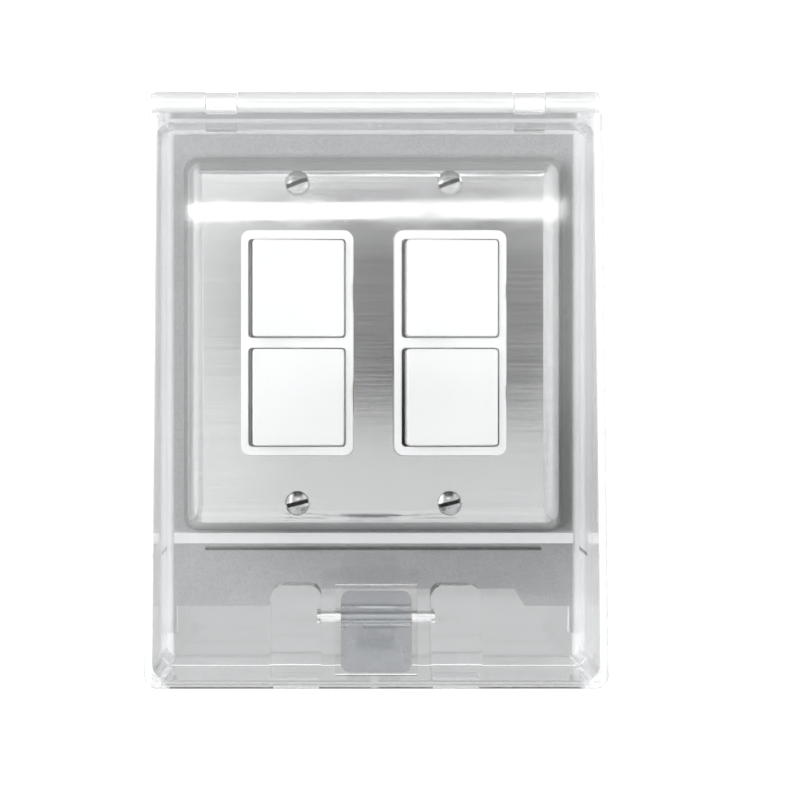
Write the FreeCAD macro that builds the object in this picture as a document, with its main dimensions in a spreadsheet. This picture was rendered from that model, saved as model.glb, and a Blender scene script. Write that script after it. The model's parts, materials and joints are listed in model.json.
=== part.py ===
import FreeCAD, Part
import math
import os
import re
from FreeCAD import Vector, Rotation, Placement

# Weatherproof two-gang switch station: clear hinged cover, stainless wall plate and two duplex rocker switches.
# Frame: the wall is the plane Y = 0, the front faces -Y, +Z is up, and the origin is the centre of the box screws.

doc = FreeCAD.newDocument("WeatherproofSwitchStation")
sheet = doc.addObject("Spreadsheet::Sheet", "Dims")
D = {}
row = [0]


def cell(alias, value):
    row[0] += 1
    sheet.set("A%d" % row[0], alias)
    sheet.set("B%d" % row[0], str(value))
    sheet.setAlias("B%d" % row[0], alias)
    D[alias] = float(value)


# cover
cell("base_wide", 131.0)
cell("base_tall", 168.8)
cell("base_mid", -13.4)
cell("gasket_deep", 3.0)
cell("panel_deep", 2.5)
cell("base_deep", 21.0)
cell("wall_thick", 2.3)
cell("draft", 2.2)
cell("part_line", -24.0)
cell("part_gap", 0.3)
cell("corner", 4.0)
cell("lid_wide", 129.2)
cell("lid_tall", 167.0)
cell("lid_mid", -13.45)
cell("lid_top", 63.6)
cell("lid_front_top", -40.9)
cell("lid_slope", 4.02)
cell("lid_thick", 2.4)
cell("hinge_y", -36.9)
cell("hinge_z", 67.1)
cell("rail_rad", 3.15)
cell("rail_half", 63.3)
cell("tongue_x", 43.4)
cell("tongue_wide", 8.4)
cell("notch_wide", 9.2)
cell("tongue_rad", 2.9)
cell("hpin_rad", 1.5)
cell("hpin_long", 12.6)
cell("run_gap", 0.06)
# latch
cell("lpin_y", -46.3)
cell("lpin_z", -76.5)
cell("lpin_rad", 2.0)
cell("lpin_half", 16.2)
cell("lever_half", 9.7)
cell("barrel_rad", 3.3)
cell("window_half", 11.2)
cell("window_low", -92.0)
cell("window_high", -67.6)
cell("lever_low", -91.2)
cell("lever_high", -69.3)
cell("lever_thick", 2.3)
cell("block_x", 22.05)
cell("block_wide", 13.9)
cell("block_tall", 27.3)
# plate
cell("plate_wide", 115.9)
cell("plate_tall", 114.3)
cell("plate_back", -5.7)
cell("plate_deep", 5.5)
cell("plate_taper", 30.0)
cell("plate_thick", 0.8)
cell("plate_round", 6.0)
cell("plate_open_wide", 34.1)
cell("plate_open_tall", 68.1)
# gang and screw spacing
cell("gang", 46.04)
cell("box_screw", 83.34)
cell("plate_screw", 96.8)
cell("screw_rad", 1.75)
cell("head_rad", 3.7)
cell("slot_tilt", 15.0)
# device
cell("strap_back", -5.5)
cell("strap_thick", 1.6)
cell("frame_front", -14.2)
cell("frame_wide", 33.6)
cell("frame_tall", 67.6)
cell("win_wide", 29.3)
cell("win_tall", 29.72)
cell("mech_z", 16.34)
cell("body_wide", 32.4)
cell("body_tall", 65.2)
cell("body_rear", 24.0)
cell("pad_wide", 27.4)
cell("pad_tall", 28.9)
cell("pad_front", -16.5)
cell("pad_pivot", -9.0)
cell("pad_tilt", 4.5)
cell("trun_rad", 1.2)
cell("rocker_y", 7.5)
cell("rocker_tilt", 6.0)
doc.recompute()


def ex(s):
    return re.sub(r"[A-Za-z_]\w*", lambda m: "Dims." + m.group(0) if m.group(0) in D else m.group(0), s)


def num(v):
    if not isinstance(v, str):
        return float(v)
    s = re.sub(r"[A-Za-z_]\w*", lambda m: repr(D[m.group(0)]), v)
    toks = re.findall(r"\d+\.?\d*(?:e-?\d+)?|[-+*/()]", s)
    pos = [0]

    def prim():
        t = toks[pos[0]]
        pos[0] += 1
        if t == "(":
            r = add()
            pos[0] += 1
            return r
        if t == "-":
            return -prim()
        return float(t)

    def mul():
        r = prim()
        while pos[0] < len(toks) and toks[pos[0]] in "*/":
            op = toks[pos[0]]
            pos[0] += 1
            q = prim()
            r = r * q if op == "*" else r / q
        return r

    def add():
        r = mul()
        while pos[0] < len(toks) and toks[pos[0]] in "+-":
            op = toks[pos[0]]
            pos[0] += 1
            q = mul()
            r = r + q if op == "+" else r - q
        return r

    return add()


def bind(obj, prop, v):
    if isinstance(v, str):
        obj.setExpression(prop, ex(v))
    else:
        setattr(obj, prop, v)


def place(obj, x, y, z, rot=None):
    obj.Placement = Placement(Vector(num(x), num(y), num(z)), rot or Rotation())
    for prop, v in (("x", x), ("y", y), ("z", z)):
        if isinstance(v, str):
            obj.setExpression("Placement.Base." + prop, ex(v))
    return obj


count = [0]


def name(tag):
    count[0] += 1
    return "%s_%d" % (tag, count[0])


def box(x0, x1, y0, y1, z0, z1):
    """Box between two corners."""
    b = doc.addObject("Part::Box", name("box"))

    def span(a, c):
        if isinstance(a, str) or isinstance(c, str):
            return "(%s)-(%s)" % (c, a)
        return c - a

    bind(b, "Length", span(x0, x1))
    bind(b, "Width", span(y0, y1))
    bind(b, "Height", span(z0, z1))
    return place(b, x0, y0, z0)


TO_FRONT = Rotation(Vector(1, 0, 0), 90)
TO_BACK = Rotation(Vector(1, 0, 0), -90)
TO_X = Rotation(Vector(0, 1, 0), 90)


def cyl(r, length, x, y, z, rot=None):
    c = doc.addObject("Part::Cylinder", name("cyl"))
    bind(c, "Radius", r)
    bind(c, "Height", length)
    return place(c, x, y, z, rot)


def cone(r1, r2, length, x, y, z, rot=None):
    c = doc.addObject("Part::Cone", name("cone"))
    bind(c, "Radius1", r1)
    bind(c, "Radius2", r2)
    bind(c, "Height", length)
    return place(c, x, y, z, rot)


def slab(cx, cz, wide, tall, y0, length, r=None, taper=None):
    """A padded rounded rectangle whose sketch lies in the XZ plane at y0 and grows towards the front."""
    body = doc.addObject("PartDesign::Body", name("slab"))
    sk = body.newObject("Sketcher::SketchObject", name("sketch"))
    plane = [f for f in body.Origin.OriginFeatures if f.Role == "XZ_Plane"][0]
    sk.AttachmentSupport = [(plane, "")]
    sk.MapMode = "FlatFace"
    w, h = num(wide) / 2, num(tall) / 2
    pts = [(-w, -h), (w, -h), (w, h), (-w, h)]
    for i in range(4):
        a, b = pts[i], pts[(i + 1) % 4]
        sk.addGeometry(Part.LineSegment(Vector(a[0], a[1], 0), Vector(b[0], b[1], 0)), False)
    import Sketcher as S

    for i in range(4):
        sk.addConstraint(S.Constraint("Coincident", i, 2, (i + 1) % 4, 1))
    sk.addConstraint([S.Constraint("Horizontal", 0), S.Constraint("Horizontal", 2), S.Constraint("Vertical", 1), S.Constraint("Vertical", 3)])
    sk.addConstraint(S.Constraint("Symmetric", 0, 1, 2, 1, -1, 1))
    i = sk.addConstraint(S.Constraint("DistanceX", 0, 1, 0, 2, 2 * w))
    j = sk.addConstraint(S.Constraint("DistanceY", 1, 1, 1, 2, 2 * h))
    if isinstance(wide, str):
        sk.setExpression("Constraints[%d]" % i, ex(wide))
    if isinstance(tall, str):
        sk.setExpression("Constraints[%d]" % j, ex(tall))
    pad = body.newObject("PartDesign::Pad", name("pad"))
    pad.Profile = sk
    bind(pad, "Length", length)
    if taper is not None:
        pad.TaperAngle = -abs(num(taper))
        if isinstance(taper, str):
            pad.setExpression("TaperAngle", "-(" + ex(taper) + ")")
    doc.recompute()
    if r is not None:
        names = []
        for k, e in enumerate(pad.Shape.Edges):
            d = e.tangentAt(e.FirstParameter)
            if abs(d.y) > 0.5:
                names.append("Edge%d" % (k + 1))
        f = body.newObject("PartDesign::Fillet", name("fillet"))
        f.Base = (pad, names)
        bind(f, "Radius", r)
        body.Tip = f
        doc.recompute()
    return place(body, cx, y0, cz)


def fuse(*objs):
    objs = list(objs)
    if len(objs) == 1:
        return objs[0]
    f = doc.addObject("Part::MultiFuse", name("fuse"))
    f.Shapes = objs
    f.Refine = True
    return f


def cut(base, *tools):
    c = doc.addObject("Part::Cut", name("cut"))
    c.Base = base
    c.Tool = fuse(*tools)
    c.Refine = True
    return c


def common(a, b):
    c = doc.addObject("Part::Common", name("common"))
    c.Base = a
    c.Tool = b
    return c


NODES = []


def node(label, obj):
    obj.Label = label
    NODES.append(obj)
    return obj


def feature(label, shape, placement=None):
    f = doc.addObject("Part::Feature", label)
    f.Shape = shape
    if placement is not None:
        f.Placement = placement
    return node(label, f)


# ---------------------------------------------------------------- wall gasket
relief = doc.addObject("Part::Wedge", "gasket_relief")
relief.Xmin, relief.Xmax, relief.X2min, relief.X2max = 0, 78.0, 0, 74.2
relief.Zmin, relief.Zmax, relief.Z2min, relief.Z2max = 0, 8, 0, 8
relief.Ymin, relief.Ymax = 0, 6.0
# the wedge's height runs upwards and its width along X; it relieves the lower edge around the latch
relief.Placement = Placement(Vector(-30.9, 2, -81.3), Rotation(Vector(1, 0, 0), 90))
node(
    "wall_gasket",
    cut(
        fuse(
            slab(0, -5.55, 127.0, 150.1, 0, "gasket_deep", 3.0),
            box(-65.2, -60.4, "-gasket_deep", 0, -88.9, -79.0),
            box(60.4, 65.2, "-gasket_deep", 0, -88.9, -79.0),
        ),
        slab(0, 0, 102.0, 106.0, 1, 5.0, 3.0),
        relief,
    ),
)

# ---------------------------------------------------------------- cover base
shell = cut(
    slab(0, "base_mid", "base_wide", "base_tall", "-gasket_deep", "base_deep", "corner", "draft"),
    slab(0, "base_mid", "base_wide-2*wall_thick", "base_tall-2*wall_thick", "-gasket_deep-panel_deep", "base_deep+2", "corner-0.5", "draft"),
)
# the top wall runs on to the hinge rail
top_wall = box("-rail_half-0.4", "rail_half+0.4", "hinge_y", "part_line+1", 67.9, 70.2)
rail_web = box("-rail_half", "rail_half", "hinge_y", "hinge_y+3.9", "hinge_z-rail_rad", "hinge_z+rail_rad")
rail_round = cyl("rail_rad", "2*rail_half", "-rail_half", "hinge_y", "hinge_z", TO_X)
catch = box(-8, 8, -43, -5, -89.5, -87.2)
lip = box(-8, 8, -43, -41.5, -88, -83.4)
catch_rib = box(-1.2, 1.2, -23, -5, -96, -89)
catch_rib_l = box(-8, -6.4, -34, -5, -87.5, -84.5)
catch_rib_r = box(6.4, 8, -34, -5, -87.5, -84.5)
ledge = box(-60.5, 60.5, -10.2, -5, -60.6, -57.5)
ledge_low = box(-51.2, 51.2, -8.5, -5, -62.9, -62.1)
# the rail's ends are rounded off in the front view
rail = common(fuse(rail_web, rail_round), slab(0, "hinge_z-10", "2*rail_half", "2*rail_rad+20", "hinge_y+5", 12.0, 2.0))
base = fuse(shell, top_wall, rail, catch, lip, catch_rib, catch_rib_l, catch_rib_r, ledge, ledge_low)
holes = [box(-42.0, 42.0, -8, 0, -38.2, 38.2)]
for sx in (-1, 1):
    for sz in (-1, 1):
        sgx = "-" if sx < 0 else ""
        sgz = "-" if sz < 0 else ""
        holes.append(cyl(2.05, 6, "%sgang/2" % sgx, 0, "%sbox_screw/2" % sgz, TO_FRONT))
        holes.append(cyl(2.3, 6, "%sgang/2" % sgx, 0, "%splate_screw/2" % sgz, TO_FRONT))
    holes.append(box("%stongue_x-notch_wide/2" % ("-" if sx < 0 else ""), "%stongue_x+notch_wide/2" % ("-" if sx < 0 else ""), -42.5, -33.2, 62, 71))
    holes.append(cyl("hpin_rad", "hpin_long", "%stongue_x-hpin_long/2" % ("-" if sx < 0 else ""), "hinge_y", "hinge_z", TO_X))
node("cover_base", cut(base, *holes))

for sx, side in ((-1, "left"), (1, "right")):
    node("hinge_pin_" + side, cyl("hpin_rad", "hpin_long", "%stongue_x-hpin_long/2" % ("-" if sx < 0 else ""), "hinge_y", "hinge_z", TO_X))

# ---------------------------------------------------------------- cover lid
slope = D["lid_slope"]
TILT = Rotation(Vector(1, 0, 0), -slope)
up = TILT.multVec(Vector(0, 0, 1))
back = TILT.multVec(Vector(0, 1, 0))


def front_half(inset):
    """The space in front of the lid's sloped face, moved inwards by inset."""
    b = doc.addObject("Part::Box", name("frontspace"))
    b.Length, b.Width, b.Height = 200, 60, 300
    p = Vector(-100, D["lid_front_top"] + inset, D["lid_top"]) - back * 60 - up * 220
    b.Placement = Placement(p, TILT)
    return b


outer = cut(
    slab(0, "lid_mid", "lid_wide", "lid_tall", "part_line-part_gap", 34.0, "corner-0.4", "draft"),
    front_half(0.0),
    box(-80, 80, -80, -10, "lid_top", 90),
)
inner = cut(
    slab(0, "lid_mid-3", "lid_wide-2*wall_thick", "lid_tall-2*wall_thick-6", "part_line-part_gap+1", 36.0, "corner+0.5", "draft"),
    front_half(D["lid_thick"]),
)
doc.recompute()
# rounded front edges, on the sloped face's outline at the sides and the bottom
fl = doc.addObject("Part::Fillet", name("lidround"))
fl.Base = outer
edges = []
for k, e in enumerate(outer.Shape.Edges):
    c = e.CenterOfMass
    on = all(abs((v.Point - Vector(0, D["lid_front_top"], D["lid_top"])).dot(back)) < 1e-4 for v in e.Vertexes)
    if on and c.z < D["lid_top"] - 0.5:
        edges.append((k + 1, 2.2, 2.2))
fl.Edges = edges
doc.recompute()
lid_outer = fl if (not fl.Shape.isNull() and fl.Shape.isValid() and fl.Shape.Volume > 0.9 * outer.Shape.Volume) else outer
print("lid front edges rounded:", lid_outer is fl, len(edges))
lid = cut(lid_outer, inner)
adds = []
cuts = []
for sx in (-1, 1):
    sg = "-" if sx < 0 else ""
    tx0 = "%stongue_x-tongue_wide/2" % sg
    tx1 = "%stongue_x+tongue_wide/2" % sg
    adds.append(cyl("tongue_rad", "tongue_wide", tx0, "hinge_y", "hinge_z", TO_X))
    adds.append(box(tx0, tx1, "hinge_y-tongue_rad", "hinge_y+0.6", "lid_top-5", "hinge_z"))
    cuts.append(cyl("hpin_rad+run_gap", "tongue_wide+2", "%stongue_x-tongue_wide/2-1" % sg, "hinge_y", "hinge_z", TO_X))
    adds.append(slab("%sblock_x" % sg, -81.65, "block_wide", "block_tall", -40.5, 9.0, 3.4))
    cuts.append(cyl("lpin_rad", 1.6, "%s" % ("lpin_half-1.6" if sx > 0 else "-lpin_half"), "lpin_y", "lpin_z", TO_X))
cuts.append(box("-window_half", "window_half", -60, -44.0, "window_low", "window_high"))
node("cover_lid", cut(fuse(lid, *adds), *cuts))

# ---------------------------------------------------------------- latch
node("latch_pin", cyl("lpin_rad", "2*lpin_half-0.2", "-lpin_half+0.1", "lpin_y", "lpin_z", TO_X))
lever_face = doc.addObject("PartDesign::Body", "lever_face")
plate_len = D["lever_high"] - D["lever_low"]
ztop = D["lever_high"]
yface = D["lid_front_top"] - math.tan(math.radians(slope)) * (D["lid_top"] - ztop) + 0.2
face_slab = slab(0, 0, "2*lever_half", "lever_high-lever_low", 0, "lever_thick", 2.6)
face_slab.Placement = Placement(Vector(0, yface, ztop) - up * (plate_len / 2) + back * D["lever_thick"], TILT)
for ax in ("x", "y", "z"):
    face_slab.setExpression("Placement.Base." + ax, None)
doc.removeObject(lever_face.Name)
lever = fuse(
    cyl("barrel_rad", "2*lever_half", "-lever_half", "lpin_y", "lpin_z", TO_X),
    face_slab,
    box("-lever_half", "lever_half", -49.0, -46.3, -78.0, -73.6),
    box(-5, 5, -48.6, -44.6, -82.6, -77.0),
    box(-5, 5, -48.6, -38.9, -82.6, -80.3),
    box(-5, 5, -40.9, -38.9, -86.6, -80.5),
    box(-5, 5, -49.6, -48.2, -84.5, -80.0),
)
node("latch_lever", cut(lever, cyl("lpin_rad+run_gap", "2*lever_half+2", "-lever_half-1", "lpin_y", "lpin_z", TO_X)))

# ---------------------------------------------------------------- wall plate
pl_out = slab(0, 0, "plate_wide", "plate_tall", "plate_back", "plate_deep", 5.0, "plate_taper")
doc.recompute()
rim = []
for k, e in enumerate(pl_out.Shape.Edges):
    if all(abs(v.Point.y - (D["plate_back"] - D["plate_deep"])) < 1e-4 for v in e.Vertexes):
        rim.append((k + 1, D["plate_round"], D["plate_round"]))
pf = doc.addObject("Part::Fillet", "plate_round")
pf.Base = pl_out
pf.Edges = rim
doc.recompute()
plate_outer = pf if (not pf.Shape.isNull() and pf.Shape.isValid()) else pl_out
print("plate edge rounded:", plate_outer is pf)
# the hollow starts 1 mm behind the rim, so its mouth is as much wider as the taper adds there
pl_in = slab(0, 0, "plate_wide-2*plate_thick*1.2+1.155", "plate_tall-2*plate_thick*1.2+1.155", "plate_back+1", "plate_deep-plate_thick+1", 4.6, "plate_taper")
rim2 = []
for k, e in enumerate(pl_in.Shape.Edges):
    if all(abs(v.Point.y - (D["plate_back"] - D["plate_deep"] + D["plate_thick"])) < 1e-3 for v in e.Vertexes):
        rim2.append((k + 1, D["plate_round"] - D["plate_thick"], D["plate_round"] - D["plate_thick"]))
pg = doc.addObject("Part::Fillet", "plate_round_in")
pg.Base = pl_in
pg.Edges = rim2
doc.recompute()
plate_inner = pg if (not pg.Shape.isNull() and pg.Shape.isValid()) else pl_in
plate = cut(plate_outer, plate_inner)
pc = []
for sg in ("-", ""):
    pc.append(slab(sg + "gang/2", 0, "plate_open_wide", "plate_open_tall", -5, 10.0, 3.0))
    for sz in ("-", ""):
        pc.append(cyl(2.0, 8, sg + "gang/2", -5, sz + "plate_screw/2", TO_FRONT))
        pc.append(cone("screw_rad+0.06", "head_rad+0.06", 1.5, sg + "gang/2", -9.75, sz + "plate_screw/2", TO_FRONT))
node("wall_plate", cut(plate, *pc))


# ---------------------------------------------------------------- screws
def oval_screw(x, z, y_seat, length, tilt, head):
    """Oval-head screw, its countersink ending at y_seat and its shank running into the wall."""
    shank = cyl("screw_rad", length, x, y_seat + 0.3, z, TO_BACK)
    sink = cone("screw_rad", head, 1.5, x, y_seat + 1.5, z, TO_FRONT)
    r = num(head)
    rise = 1.15
    big = (r * r + rise * rise) / (2 * rise)
    dome = doc.addObject("Part::Sphere", name("dome"))
    dome.Radius = big
    dome.Angle1 = math.degrees(math.asin((big - rise) / big))
    place(dome, x, y_seat + (big - rise), z, TO_FRONT)
    slot = doc.addObject("Part::Box", name("slot"))
    slot.Length, slot.Width, slot.Height = 9.0, 2.0, 1.3
    rot = Rotation(Vector(0, 1, 0), -tilt)
    slot.Placement = Placement(Vector(num(x), 0, num(z)) + rot.multVec(Vector(-4.5, y_seat - 1.7, -0.65)), rot)
    return cut(fuse(shank, sink, dome), slot)


screws = []
for sg in ("-", ""):
    for sz in ("-", ""):
        t = 14.0 if sz == "-" else 20.0
        screws.append(oval_screw(sg + "gang/2", sz + "plate_screw/2", -11.25, 13.0, t, "head_rad"))
node("plate_screws", fuse(*screws))
screws = []
for sg in ("-", ""):
    for sz in ("-", ""):
        x, z = sg + "gang/2", sz + "box_screw/2"
        # the neck under the head is thinner than the thread, which starts just in front of the wall plane
        screws.append(cut(fuse(cyl("screw_rad", 20.1, x, -0.3, z, TO_BACK), cyl("screw_rad-0.25", 7.3, x, -7.2, z, TO_BACK), cyl(3.2, 2.0, x, -7.1, z, TO_FRONT)), box("%s-4" % x, "%s+4" % x, -9.3, -8.2, "%s-0.5" % z, "%s+0.5" % z)))
node("box_screws", fuse(*screws))


# ---------------------------------------------------------------- switch devices
def coil(radius, wire, pitch, height, steps=0):
    h = Part.makeHelix(pitch, height, radius)
    prof = Part.Wire([Part.makeCircle(wire, Vector(radius, 0, 0), Vector(0, 1, 0))])
    return Part.Wire(h.Edges).makePipeShell([prof], True, True)


for sg, side in (("-", "left"), ("", "right")):
    x0 = sg + "gang/2"
    X = num(x0)
    # steel mounting strap with ears, behind the plate
    strap = cut(
        fuse(
            slab(x0, 0, 33.0, 76.0, "strap_back", "strap_thick", 2.0),
            slab(x0, 0, 14.5, 105.0, "strap_back", "strap_thick", 3.0),
        ),
        slab(x0, 0, 28.6, 63.2, -5, 5.0, 1.5),
        *[cyl(2.0, 4, x0, -5, sz + "box_screw/2", TO_FRONT) for sz in ("-", "")],
        *[cyl("screw_rad+0.02", 4, x0, -5, sz + "plate_screw/2", TO_FRONT) for sz in ("-", "")],
        cyl(1.72, 4, "%s+12.3" % x0, -5, -35.6, TO_FRONT),
    )
    node(side + "_switch_strap", strap)
    # white bezel with two windows and trunnion bores
    bez = cut(
        slab(x0, 0, "frame_wide", "frame_tall", "strap_back-strap_thick", "-frame_front+strap_back-strap_thick", 2.8),
        slab(x0, "mech_z", "win_wide", "win_tall", -5, 12.0, 1.2),
        slab(x0, "-mech_z", "win_wide", "win_tall", -5, 12.0, 1.2),
        cyl("trun_rad+run_gap", 66.0, x0, "pad_pivot", -33.0, None),
        *[box("%s+frame_wide/2-0.45" % x0, "%s+frame_wide/2+1" % x0, -15, -12.6, a, a + 4.4) for a in (13.2, -17.2)],
    )
    node(side + "_switch_frame", bez)
    # housing with a pocket for each mechanism
    hous = cut(
        slab(x0, 0, "body_wide", "body_tall", "body_rear", "body_rear-strap_back", 1.5),
        *[box("%s-14.2" % x0, "%s+14.2" % x0, -8, 21.0, zc - 14.3, zc + 14.3) for zc in (-D["mech_z"], D["mech_z"])],
        # slots for the terminals
        box("%s-17" % x0, "%s-10" % x0, 19.0, 20.2, -3.0, 3.0),
        box("%s-14.4" % x0, "%s+4" % x0, 19.0, 20.2, -3.0, 3.0),
        *[box("%s+10" % x0, "%s+17" % x0, 19.0, 20.2, zc - 3.0, zc + 3.0) for zc in (-D["mech_z"], D["mech_z"])],
    )
    node(side + "_switch_body", hous)
    # common brass bus: floor strip, pivot ears and the side terminal
    bus = [
        box("%s-3" % x0, "%s+3" % x0, 19.1, 20.1, -2.9, 2.9),
        box("%s-17.3" % x0, "%s-2" % x0, 19.1, 20.1, -2.9, 2.9),
        box("%s-17.3" % x0, "%s-16.2" % x0, 2.0, 20.1, -11.0, 11.0),
    ]
    for zc in (-D["mech_z"], D["mech_z"]):
        lo, hi = (zc - 6.6, -2.0) if zc < 0 else (2.0, zc + 6.6)
        bus.append(box("%s-3" % x0, "%s+3" % x0, 19.95, 20.9, min(lo, zc - 6.6), max(hi, zc + 6.6)))
        for sz in (-1, 1):
            bus.append(box("%s-1.9" % x0, "%s+1.9" % x0, 5.6, 20.5, zc + sz * 6.1 - 0.5, zc + sz * 6.1 + 0.5))
    ears = [cyl(0.86, 16.0, x0, "rocker_y", zc - 8.0, None) for zc in (-D["mech_z"], D["mech_z"])]
    # the strip passes under the partition through its slot
    node(side + "_line_bus", cut(fuse(*bus), box("%s-4" % x0, "%s+4" % x0, 20.15, 21.2, -2.2, 2.2), *ears))
    loads = []
    for zc in (-D["mech_z"], D["mech_z"]):
        loads.append(
            fuse(
                box("%s+8.0" % x0, "%s+17.3" % x0, 19.1, 20.1, zc - 2.9, zc + 2.9),
                box("%s+8.0" % x0, "%s+9.0" % x0, 11.2, 20.0, zc - 2.9, zc + 2.9),
                box("%s+6.4" % x0, "%s+10.6" % x0, 10.4, 11.3, zc - 2.9, zc + 2.9),
                cyl(1.6, 0.4, "%s+8.5" % x0, 10.5, zc, TO_FRONT),
                box("%s+16.2" % x0, "%s+17.3" % x0, 2.0, 20.1, zc - 5.0, zc + 5.0),
            )
        )
    node(side + "_load_terminals", fuse(*loads))
    ts = []
    FX = Rotation(Vector(0, 1, 0), 90)
    BX = Rotation(Vector(0, 1, 0), -90)
    for zc in (-7.0, 7.0):
        ts.append(cut(cyl(2.9, 1.8, "%s-17.3" % x0, 8.0, zc, BX), box("%s-19.3" % x0, "%s-18.4" % x0, 4, 12, zc - 0.5, zc + 0.5)))
    for zc in (-D["mech_z"], D["mech_z"]):
        ts.append(cut(cyl(2.9, 1.8, "%s+17.3" % x0, 8.0, zc, FX), box("%s+18.4" % x0, "%s+19.3" % x0, 4, 12, zc - 0.5, zc + 0.5)))
    node(side + "_terminal_screws", fuse(*ts))
    node(side + "_ground_screw", cut(fuse(cyl(2.5, 1.9, "%s+12.3" % x0, -5.5, -35.6, TO_BACK), cyl(1.72, 2.0, "%s+12.3" % x0, -5.4, -35.6, TO_FRONT)), box("%s+8" % x0, "%s+17" % x0, -4.3, -3.5, -36.1, -35.1)))

    # four identical mechanisms: rocker paddle, spring and contact rocker
    for zc, lvl in ((D["mech_z"], "upper"), (-D["mech_z"], "lower")):
        tag = side + "_" + lvl
        pv = Vector(X, D["pad_pivot"], zc)
        # the paddle is drawn level about its pivot at the origin, then tilted with its left edge proud
        pf0 = D["pad_front"] - D["pad_pivot"]
        body_p = slab(0, 0, "pad_wide", "pad_tall", -1.0, -pf0 - 1.0, 1.0)
        doc.recompute()
        es = []
        for k, e in enumerate(body_p.Shape.Edges):
            if all(abs(v.Point.y - pf0) < 1e-4 for v in e.Vertexes):
                es.append((k + 1, 0.6, 0.6))
        fr = doc.addObject("Part::Fillet", name("padround"))
        fr.Base = body_p
        fr.Edges = es
        doc.recompute()
        padtop = fr if (not fr.Shape.isNull() and fr.Shape.isValid()) else body_p
        hollow = box(-12.2, 12.2, pf0 + 1.8, 0, -12.95, 12.95)
        stem = cyl(2.7, 11.0, 0, pf0 + 1.2, 0, TO_BACK)
        bridge = box(-2.4, 2.4, -1.6, 1.0, -13.6, 13.6)
        web = box(-0.8, 0.8, pf0 + 1.2, 0.0, -13.6, 13.6)
        tr = cyl("trun_rad", "win_tall+2.0", 0, 0, "-win_tall/2-1.0", None)
        whole = cut(fuse(cut(padtop, hollow), stem, bridge, web, tr), cyl(1.95, 8.0, 0, 6.0, 0, TO_FRONT))
        doc.recompute()
        rotp = Rotation(Vector(0, 0, 1), D["pad_tilt"])
        whole.Placement = Placement(pv, rotp)
        node(tag + "_paddle", whole)
        sp = coil(1.5, 0.3, 1.35, 13.0)
        lay = Placement(Vector(0, -1.65, 0), TO_BACK)
        feature(tag + "_rocker_spring", sp, Placement(pv, rotp).multiply(lay))
        # contact rocker: brass plate with pivot stubs and a contact button, tilted the other way
        rk = fuse(
            box(-9.6, 9.6, -0.6, 0.6, -4.0, 4.0),
            box(-3.2, 3.2, -1.3, 0.2, -4.0, 4.0),
            cyl(0.8, 13.4, 0, 0, -6.7, None),
            cyl(1.6, 0.8, 8.5, 1.3, 0, TO_FRONT),
        )
        rk.Placement = Placement(Vector(X, D["rocker_y"], zc), Rotation(Vector(0, 0, 1), -D["rocker_tilt"]))
        node(tag + "_contact_rocker", rk)

doc.recompute()
bad = [o.Name for o in doc.Objects if "Invalid" in o.State or "Error" in o.State]
if bad:
    raise SystemExit("failed features: " + ", ".join(bad))
os.makedirs("parts", exist_ok=True)
for o in NODES:
    s = o.Shape
    if s.isNull() or not s.isValid():
        raise SystemExit("bad shape: " + o.Label)
for o in NODES:
    s = o.Shape
    bb = s.optimalBoundingBox(False, False) if hasattr(s, "optimalBoundingBox") else s.BoundBox
    print("%-28s solids %d vol %9.1f  x %.2f..%.2f y %.2f..%.2f z %.2f..%.2f" % (o.Label, len(s.Solids), s.Volume, bb.XMin, bb.XMax, bb.YMin, bb.YMax, bb.ZMin, bb.ZMax))
    s.exportStep("parts/%s.step" % o.Label)
print("nodes", len(NODES))
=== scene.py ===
import json
import math

import bpy
import bmesh
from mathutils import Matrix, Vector

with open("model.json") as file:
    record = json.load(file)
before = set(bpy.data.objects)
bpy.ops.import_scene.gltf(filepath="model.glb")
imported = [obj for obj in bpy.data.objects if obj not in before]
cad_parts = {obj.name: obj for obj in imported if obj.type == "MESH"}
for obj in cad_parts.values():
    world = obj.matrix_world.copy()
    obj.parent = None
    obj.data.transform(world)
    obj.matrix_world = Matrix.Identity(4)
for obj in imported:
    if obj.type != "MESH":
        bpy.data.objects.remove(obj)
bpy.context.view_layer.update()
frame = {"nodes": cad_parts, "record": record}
NODES = frame["nodes"]
mm = 0.001


# ------------------------------------------------------------------ materials
def new_mat(name):
    m = bpy.data.materials.new(name)
    m.use_nodes = True
    nt = m.node_tree
    nt.nodes.clear()
    out = nt.nodes.new("ShaderNodeOutputMaterial")
    bsdf = nt.nodes.new("ShaderNodeBsdfPrincipled")
    nt.links.new(bsdf.outputs[0], out.inputs[0])
    return m, nt, bsdf, out


def coords(nt, scale=(1, 1, 1), rot=(0, 0, 0)):
    tc = nt.nodes.new("ShaderNodeTexCoord")
    mp = nt.nodes.new("ShaderNodeMapping")
    mp.inputs["Scale"].default_value = scale
    mp.inputs["Rotation"].default_value = rot
    nt.links.new(tc.outputs["Object"], mp.inputs["Vector"])
    return mp.outputs[0]


def noise(nt, vec, scale, detail=3.0, rough=0.5, distortion=0.0):
    n = nt.nodes.new("ShaderNodeTexNoise")
    n.inputs["Scale"].default_value = scale
    n.inputs["Detail"].default_value = detail
    n.inputs["Roughness"].default_value = rough
    n.inputs["Distortion"].default_value = distortion
    nt.links.new(vec, n.inputs["Vector"])
    return n.outputs["Fac"]


def ramp(nt, fac, stops):
    r = nt.nodes.new("ShaderNodeValToRGB")
    el = r.color_ramp.elements
    while len(el) < len(stops):
        el.new(0.5)
    for e, (p, c) in zip(el, stops):
        e.position = p
        e.color = (*c, 1) if len(c) == 3 else c
    nt.links.new(fac, r.inputs[0])
    return r.outputs[0]


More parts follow.
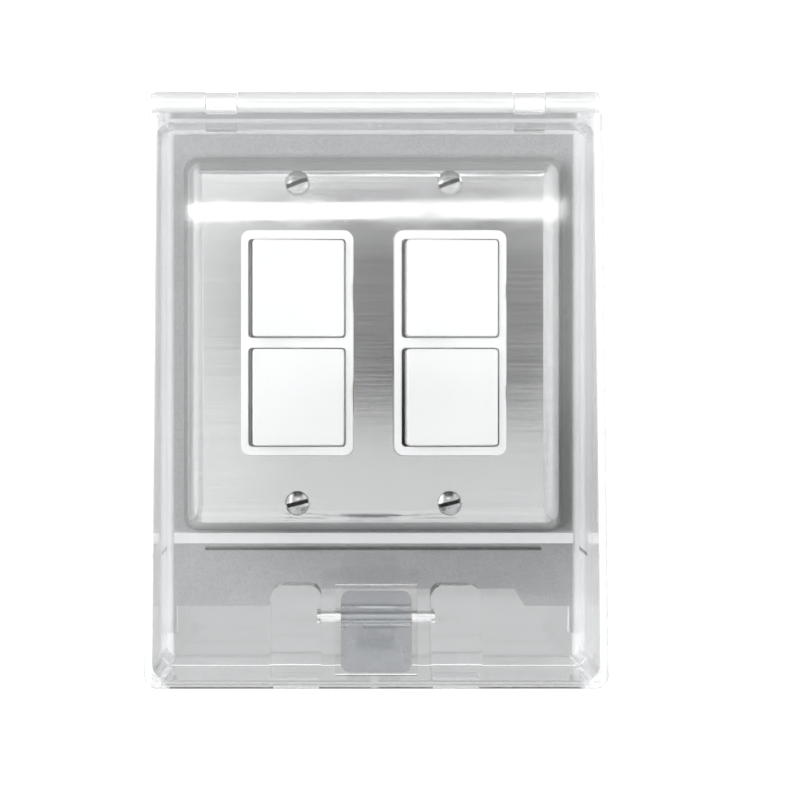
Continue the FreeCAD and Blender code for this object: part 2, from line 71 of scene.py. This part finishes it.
def remap(nt, fac, a, b, lo, hi):
    m = nt.nodes.new("ShaderNodeMapRange")
    for i, v in enumerate((a, b, lo, hi)):
        m.inputs[1 + i].default_value = v
    nt.links.new(fac, m.inputs[0])
    return m.outputs[0]


def bump(nt, bsdf, height, strength, distance):
    b = nt.nodes.new("ShaderNodeBump")
    b.inputs["Strength"].default_value = strength
    b.inputs["Distance"].default_value = distance
    nt.links.new(height, b.inputs["Height"])
    nt.links.new(b.outputs[0], bsdf.inputs["Normal"])
    return b


def split(nt, vec):
    sp = nt.nodes.new("ShaderNodeSeparateXYZ")
    nt.links.new(vec, sp.inputs[0])
    return sp.outputs


def maths(nt, op, a, b=None, c=None, clamp=False):
    n = nt.nodes.new("ShaderNodeMath")
    n.operation = op
    n.use_clamp = clamp
    for i, v in enumerate((a, b, c)):
        if v is None:
            continue
        if isinstance(v, (int, float)):
            n.inputs[i].default_value = v
        else:
            nt.links.new(v, n.inputs[i])
    return n.outputs[0]


def blend(nt, fac, a, b):
    """Colour a where fac is 0, b where it is 1; each is a socket or a colour."""
    mx = nt.nodes.new("ShaderNodeMix")
    mx.data_type = "RGBA"
    nt.links.new(fac, mx.inputs[0])
    for i, v in ((6, a), (7, b)):
        if isinstance(v, tuple):
            mx.inputs[i].default_value = (*v, 1)
        else:
            nt.links.new(v, mx.inputs[i])
    return mx.outputs[2]


def step_at(nt, val, a, b):
    """0 at a, 1 at b, smooth between."""
    m = nt.nodes.new("ShaderNodeMapRange")
    m.interpolation_type = "SMOOTHSTEP"
    for i, v in enumerate((a, b, 0.0, 1.0)):
        m.inputs[1 + i].default_value = v
    nt.links.new(val, m.inputs[0])
    return m.outputs[0]


def clear_plastic(name, colour, rough, body=None, clear=0.985, milky=0.985):
    """Water-clear polycarbonate: bends and mirrors light, and lets lamps through it. Its side walls and rail are
    seen edge-on and get a milky whitening, part haze and part painted light for their bright edge-on look. With body
    "base" a near-black painted shadow line also runs across the base below the plate."""
    m, nt, p, out = new_mat(name)
    v = coords(nt)
    x, y, z = split(nt, v)
    p.inputs["IOR"].default_value = 1.58
    tint = colour
    if body == "base":
        # painted shadow: a thin near-black line on the base just below the plate stands in for the shade under the
        # plate's lower edge
        shadow_line_mask = maths(nt, "MULTIPLY", step_at(nt, z, -0.0631, -0.0629), step_at(nt, z, -0.0619, -0.0621))
        shadow_line_mask = maths(nt, "MULTIPLY", shadow_line_mask, step_at(nt, y, -0.0055, -0.0058))
        tint = blend(nt, shadow_line_mask, colour, (0.02, 0.02, 0.02))
    if isinstance(tint, tuple):
        p.inputs["Base Color"].default_value = (*tint, 1)
    else:
        nt.links.new(tint, p.inputs["Base Color"])
    if milky < clear:
        # painted light: the edge-on side walls and the hinge rail are made milky by position, part haze and part
        # painted brightness for their white look
        side = step_at(nt, maths(nt, "ABSOLUTE", x), 0.0608, 0.0622)
        rail = maths(nt, "MULTIPLY", step_at(nt, z, 0.0640, 0.0648), 0.80)
        edge = maths(nt, "MAXIMUM", side, rail)
        if body == "base":
            # the ledge under the plate is also made milky white, a painted highlight standing in for the bright
            # reflection band along the plate's lower edge
            ledge_highlight_mask = maths(nt, "MULTIPLY", step_at(nt, z, -0.0612, -0.0606), step_at(nt, z, -0.0568, -0.0575))
            ledge_highlight_mask = maths(nt, "MULTIPLY", ledge_highlight_mask, step_at(nt, y, -0.0054, -0.0060))
            edge = maths(nt, "MAXIMUM", edge, ledge_highlight_mask)
        nt.links.new(maths(nt, "MULTIPLY_ADD", edge, milky - clear, clear), p.inputs["Transmission Weight"])
    else:
        p.inputs["Transmission Weight"].default_value = clear
    n1 = noise(nt, v, 60.0, 4.0, 0.6)
    nt.links.new(remap(nt, n1, 0.35, 0.7, rough, rough + 0.05), p.inputs["Roughness"])
    n2 = noise(nt, v, 20.0, 1.0, 0.4)
    bump(nt, p, n2, 0.06, 0.0002)
    lp = nt.nodes.new("ShaderNodeLightPath")
    tr = nt.nodes.new("ShaderNodeBsdfTransparent")
    tr.inputs["Color"].default_value = (0.98, 0.98, 0.98, 1)
    mix = nt.nodes.new("ShaderNodeMixShader")
    nt.links.new(lp.outputs["Is Shadow Ray"], mix.inputs[0])
    nt.links.new(p.outputs[0], mix.inputs[1])
    nt.links.new(tr.outputs[0], mix.inputs[2])
    nt.links.new(mix.outputs[0], out.inputs[0])
    return m


def brushed(name, lo, hi, rough, along="x", grain=1.0, strength=0.25):
    m, nt, p, out = new_mat(name)
    p.inputs["Metallic"].default_value = 1.0
    sc = {"x": (7, 900, 900), "z": (900, 900, 7), "y": (900, 7, 900)}[along]
    v = coords(nt, tuple(s * grain for s in sc))
    fine = noise(nt, v, 1.0, 4.0, 0.65)
    v2 = coords(nt, tuple(s * (0.35 if s > 100 else 1.0) * grain for s in sc))
    broad = noise(nt, v2, 1.0, 3.0, 0.6)
    mixv = nt.nodes.new("ShaderNodeMath")
    mixv.operation = "MULTIPLY_ADD"
    nt.links.new(fine, mixv.inputs[0])
    mixv.inputs[1].default_value = 0.6
    sc2 = nt.nodes.new("ShaderNodeMath")
    sc2.operation = "MULTIPLY"
    sc2.inputs[1].default_value = 0.4
    nt.links.new(broad, sc2.inputs[0])
    nt.links.new(sc2.outputs[0], mixv.inputs[2])
    f = mixv.outputs[0]
    nt.links.new(ramp(nt, f, [(0.3, lo), (0.7, hi)]), p.inputs["Base Color"])
    nt.links.new(remap(nt, f, 0.3, 0.7, rough - 0.03, rough + 0.04), p.inputs["Roughness"])
    bump(nt, p, f, strength, 0.00003)
    return m


def polished(name, colour, rough, metallic=1.0, slot_floor=None):
    """Polished metal. Below slot_floor, a slot's bottom is painted near-black as painted shade in the recess."""
    m, nt, p, out = new_mat(name)
    p.inputs["Metallic"].default_value = metallic
    v = coords(nt)
    n1 = noise(nt, v, 900.0, 3.0, 0.6)
    c0 = tuple(c * 0.88 for c in colour)
    col = ramp(nt, n1, [(0.3, c0), (0.6, colour)])
    if slot_floor is not None:
        y = split(nt, v)[1]
        # painted shade: the slot's bottom is painted near-black
        col = blend(nt, step_at(nt, y, slot_floor - 0.0003, slot_floor + 0.0002), col, (0.012, 0.012, 0.012))
    nt.links.new(col, p.inputs["Base Color"])
    nt.links.new(remap(nt, n1, 0.3, 0.7, rough, rough + 0.1), p.inputs["Roughness"])
    return m


def moulded(name, colour, rough, peel=0.06, spec=0.5, shade=0.97):
    m, nt, p, out = new_mat(name)
    v = coords(nt)
    n1 = noise(nt, v, 45.0, 3.0, 0.5)
    c0 = tuple(c * shade for c in colour)
    nt.links.new(ramp(nt, n1, [(0.3, c0), (0.7, colour)]), p.inputs["Base Color"])
    p.inputs["Specular IOR Level"].default_value = spec
    n2 = noise(nt, v, 1400.0, 2.0, 0.5)
    nt.links.new(remap(nt, n2, 0.3, 0.7, rough, rough + 0.06), p.inputs["Roughness"])
    bump(nt, p, n2, peel, 0.00002)
    return m


def foam(name, colour, lit_upper_colour):
    """Closed-cell foam, painted greyer below the plate and lighter further up as painted shade."""
    m, nt, p, out = new_mat(name)
    v = coords(nt)
    vo = nt.nodes.new("ShaderNodeTexVoronoi")
    vo.inputs["Scale"].default_value = 1500.0
    nt.links.new(v, vo.inputs["Vector"])
    c0 = tuple(c * 0.82 for c in colour)
    c1 = tuple(c * 0.82 for c in lit_upper_colour)
    low = ramp(nt, vo.outputs["Distance"], [(0.1, c0), (0.6, colour)])
    high = ramp(nt, vo.outputs["Distance"], [(0.1, c1), (0.6, lit_upper_colour)])
    sp = nt.nodes.new("ShaderNodeSeparateXYZ")
    nt.links.new(v, sp.inputs[0])
    # painted shade: below z -0.062 the foam takes the darker colour, above z -0.05 the lighter one
    f = remap(nt, sp.outputs["Z"], -0.062, -0.05, 0.0, 1.0)
    mx = nt.nodes.new("ShaderNodeMix")
    mx.data_type = "RGBA"
    nt.links.new(f, mx.inputs[0])
    nt.links.new(low, mx.inputs[6])
    nt.links.new(high, mx.inputs[7])
    nt.links.new(mx.outputs[2], p.inputs["Base Color"])
    p.inputs["Roughness"].default_value = 0.85
    bump(nt, p, vo.outputs["Distance"], 0.5, 0.0002)
    return m


MAT = {
    "clear_polycarbonate": clear_plastic("clear_lid_look", (0.94, 0.945, 0.95), 0.02, None, 0.995, 0.42),
    "latch_plastic": clear_plastic("latch_plastic_look", (0.63, 0.65, 0.672), 0.24),
    "clear_pin": clear_plastic("clear_pin_look", (0.95, 0.96, 0.965), 0.04),
    "foam_seal": foam("foam_look", (0.93, 0.93, 0.935), (0.96, 0.96, 0.965)),
    "brushed_stainless": brushed("stainless_look", (0.60, 0.60, 0.60), (0.68, 0.68, 0.675), 0.13, "x", 1.6, 0.25),
    "screw_steel": polished("screw_look", (0.50, 0.50, 0.50), 0.10, 1.0, -0.0113),
    "pin_steel": polished("latch_pin_look", (0.85, 0.85, 0.85), 0.30),
    "zinc_steel": brushed("zinc_look", (0.5, 0.51, 0.52), (0.66, 0.67, 0.68), 0.35, "x", 0.4),
    "white_plastic": moulded("white_plastic_look", (0.88, 0.88, 0.877), 0.22),
    "housing_plastic": moulded("housing_look", (0.72, 0.72, 0.69), 0.45, 0.25),
    "brass": brushed("brass_look", (0.62, 0.44, 0.17), (0.78, 0.58, 0.26), 0.3, "z", 0.4),
    "green_screw": polished("green_look", (0.06, 0.30, 0.10), 0.3, 0.7),
    "spring_steel": polished("spring_look", (0.5, 0.5, 0.5), 0.25),
}
slots = {s["node"]: s["material_slot"] for s in frame["record"]["subparts"]}
BASE_LOOK = clear_plastic("clear_base_look", (0.94, 0.945, 0.95), 0.02, "base", 0.995, 0.42)
for n, ob in NODES.items():
    m = BASE_LOOK if n == "cover_base" else MAT[slots[n]]
    ob.data.materials.clear()
    ob.data.materials.append(m)

# ------------------------------------------------------------------ stage
def plane(name, pts, mat):
    me = bpy.data.meshes.new(name)
    me.from_pydata(pts, [], [list(range(len(pts)))])
    o = bpy.data.objects.new(name, me)
    bpy.context.scene.collection.objects.link(o)
    me.materials.append(mat)
    return o


fm, fnt, fp, fo = new_mat("floor_look")
fp.inputs["Base Color"].default_value = (0.55, 0.55, 0.55, 1)
fp.inputs["Roughness"].default_value = 0.7
fp.inputs["Emission Color"].default_value = (1, 1, 1, 1)
flp = fnt.nodes.new("ShaderNodeLightPath")
# the sweep is lit more strongly in front of the object than behind it
lit = maths(fnt, "MULTIPLY_ADD", step_at(fnt, split(fnt, coords(fnt))[1], 0.25, -0.15), 0.80, 0.16)
fnt.links.new(maths(fnt, "MULTIPLY_ADD", flp.outputs["Is Camera Ray"], 0.80, lit), fp.inputs["Emission Strength"])
floor = plane("floor", [(-30, -30, -0.42), (30, -30, -0.42), (30, 30, -0.42), (-30, 30, -0.42)], fm)

scene = bpy.context.scene
scene.view_settings.view_transform = "Standard"
scene.view_settings.look = "None"

world = bpy.data.worlds.new("studio")
scene.world = world
world.use_nodes = True
wnt = world.node_tree
wnt.nodes.clear()
wo = wnt.nodes.new("ShaderNodeOutputWorld")
bg = wnt.nodes.new("ShaderNodeBackground")
tc = wnt.nodes.new("ShaderNodeTexCoord")
sep = wnt.nodes.new("ShaderNodeSeparateXYZ")
wnt.links.new(tc.outputs["Generated"], sep.inputs[0])
def wmath(op, a, b=None, c=None):
    n = wnt.nodes.new("ShaderNodeMath")
    n.operation = op
    for i, v in enumerate((a, b, c)):
        if v is None:
            continue
        if isinstance(v, (int, float)):
            n.inputs[i].default_value = v
        else:
            wnt.links.new(v, n.inputs[i])
    return n.outputs[0]


def wramp(fac, stops):
    r = wnt.nodes.new("ShaderNodeValToRGB")
    el = r.color_ramp.elements
    while len(el) < len(stops):
        el.new(0.5)
    for e, (q, c) in zip(el, stops):
        e.position = q
        e.color = (c, c, c, 1)
    wnt.links.new(fac, r.inputs[0])
    return r.outputs[0]


def wdot(d):
    """How closely the direction agrees with d."""
    n = wnt.nodes.new("ShaderNodeVectorMath")
    n.operation = "DOT_PRODUCT"
    wnt.links.new(tc.outputs["Generated"], n.inputs[0])
    n.inputs[1].default_value = Vector(d).normalized()
    return n.outputs["Value"]


# a white light tent with a soft oval dark opening where the lens looks in, and a dark strip across its ceiling
dx = wmath("MULTIPLY_ADD", sep.outputs["X"], 1.0 / 0.140, -0.06 / 0.140)
dz = wmath("MULTIPLY_ADD", sep.outputs["Z"], 1.0 / 0.100, -0.066 / 0.100)
oval = wmath("SQRT", wmath("ADD", wmath("MULTIPLY", dx, dx), wmath("MULTIPLY", dz, dz)))
oval = wmath("ADD", oval, wmath("MULTIPLY", wmath("GREATER_THAN", sep.outputs["Y"], 0.0), 20.0))
hole = wramp(wmath("MULTIPLY", oval, 0.25), [(0.10, 0.0), (0.19, 0.06), (0.30, 0.80), (0.40, 1.0)])
spot = wmath("ARCCOSINE", wdot((0.0, -1.0, 0.0)))
ring = wramp(wmath("MULTIPLY", spot, 1.0 / 1.6), [(0.0, 1.0), (0.25, 0.97), (0.50, 0.78), (0.80, 0.58), (1.0, 0.48)])
level = wmath("MULTIPLY", ring, hole)
high = wramp(sep.outputs["Z"], [(0.50, 0.0), (0.62, 1.0)])
near = wramp(wmath("ABSOLUTE", sep.outputs["X"]), [(0.30, 1.0), (0.46, 0.0)])
strip = wmath("MULTIPLY", high, near)
level = wmath("MULTIPLY", level, wmath("MULTIPLY_ADD", strip, -0.94, 1.0))
wlp = wnt.nodes.new("ShaderNodeLightPath")
# seen directly, the tent behind the object is plain white
level = wmath("MAXIMUM", level, wlp.outputs["Is Camera Ray"])
wnt.links.new(level, bg.inputs[0])
bg.inputs[1].default_value = 1.35
wnt.links.new(bg.outputs[0], wo.inputs[0])


def area(name, loc, target, sx, sy, power, mirrored=True):
    l = bpy.data.lights.new(name, "AREA")
    l.shape = "RECTANGLE"
    l.size, l.size_y = sx, sy
    l.energy = power
    o = bpy.data.objects.new(name, l)
    scene.collection.objects.link(o)
    o.location = loc
    d = Vector(target) - Vector(loc)
    o.rotation_euler = d.to_track_quat("-Z", "Y").to_euler()
    o.visible_glossy = mirrored
    return o


area("left_card", (-1.0, -0.75, 0.25), (0, 0, 0), 0.9, 1.4, 9.2, False)
area("right_card", (1.0, -0.75, 0.25), (0, 0, 0), 0.9, 1.4, 3.2, False)
area("strip", (0.015, -0.70, 0.224), (0, -0.043, 0.036), 0.300, 0.013, 0.12)

# ------------------------------------------------------------------ camera
cam = bpy.data.cameras.new("camera")
cam.sensor_width = 36.0
cam.lens = 1320.0 / 800.0 * 36.0
cam.shift_x = 0.06625
cam.shift_y = -0.0075
co = bpy.data.objects.new("camera", cam)
scene.collection.objects.link(co)
co.location = (-0.008, -0.4112, -0.0153)
co.rotation_euler = (math.radians(90), 0, 0)
scene.camera = co
cam.clip_start = 0.01
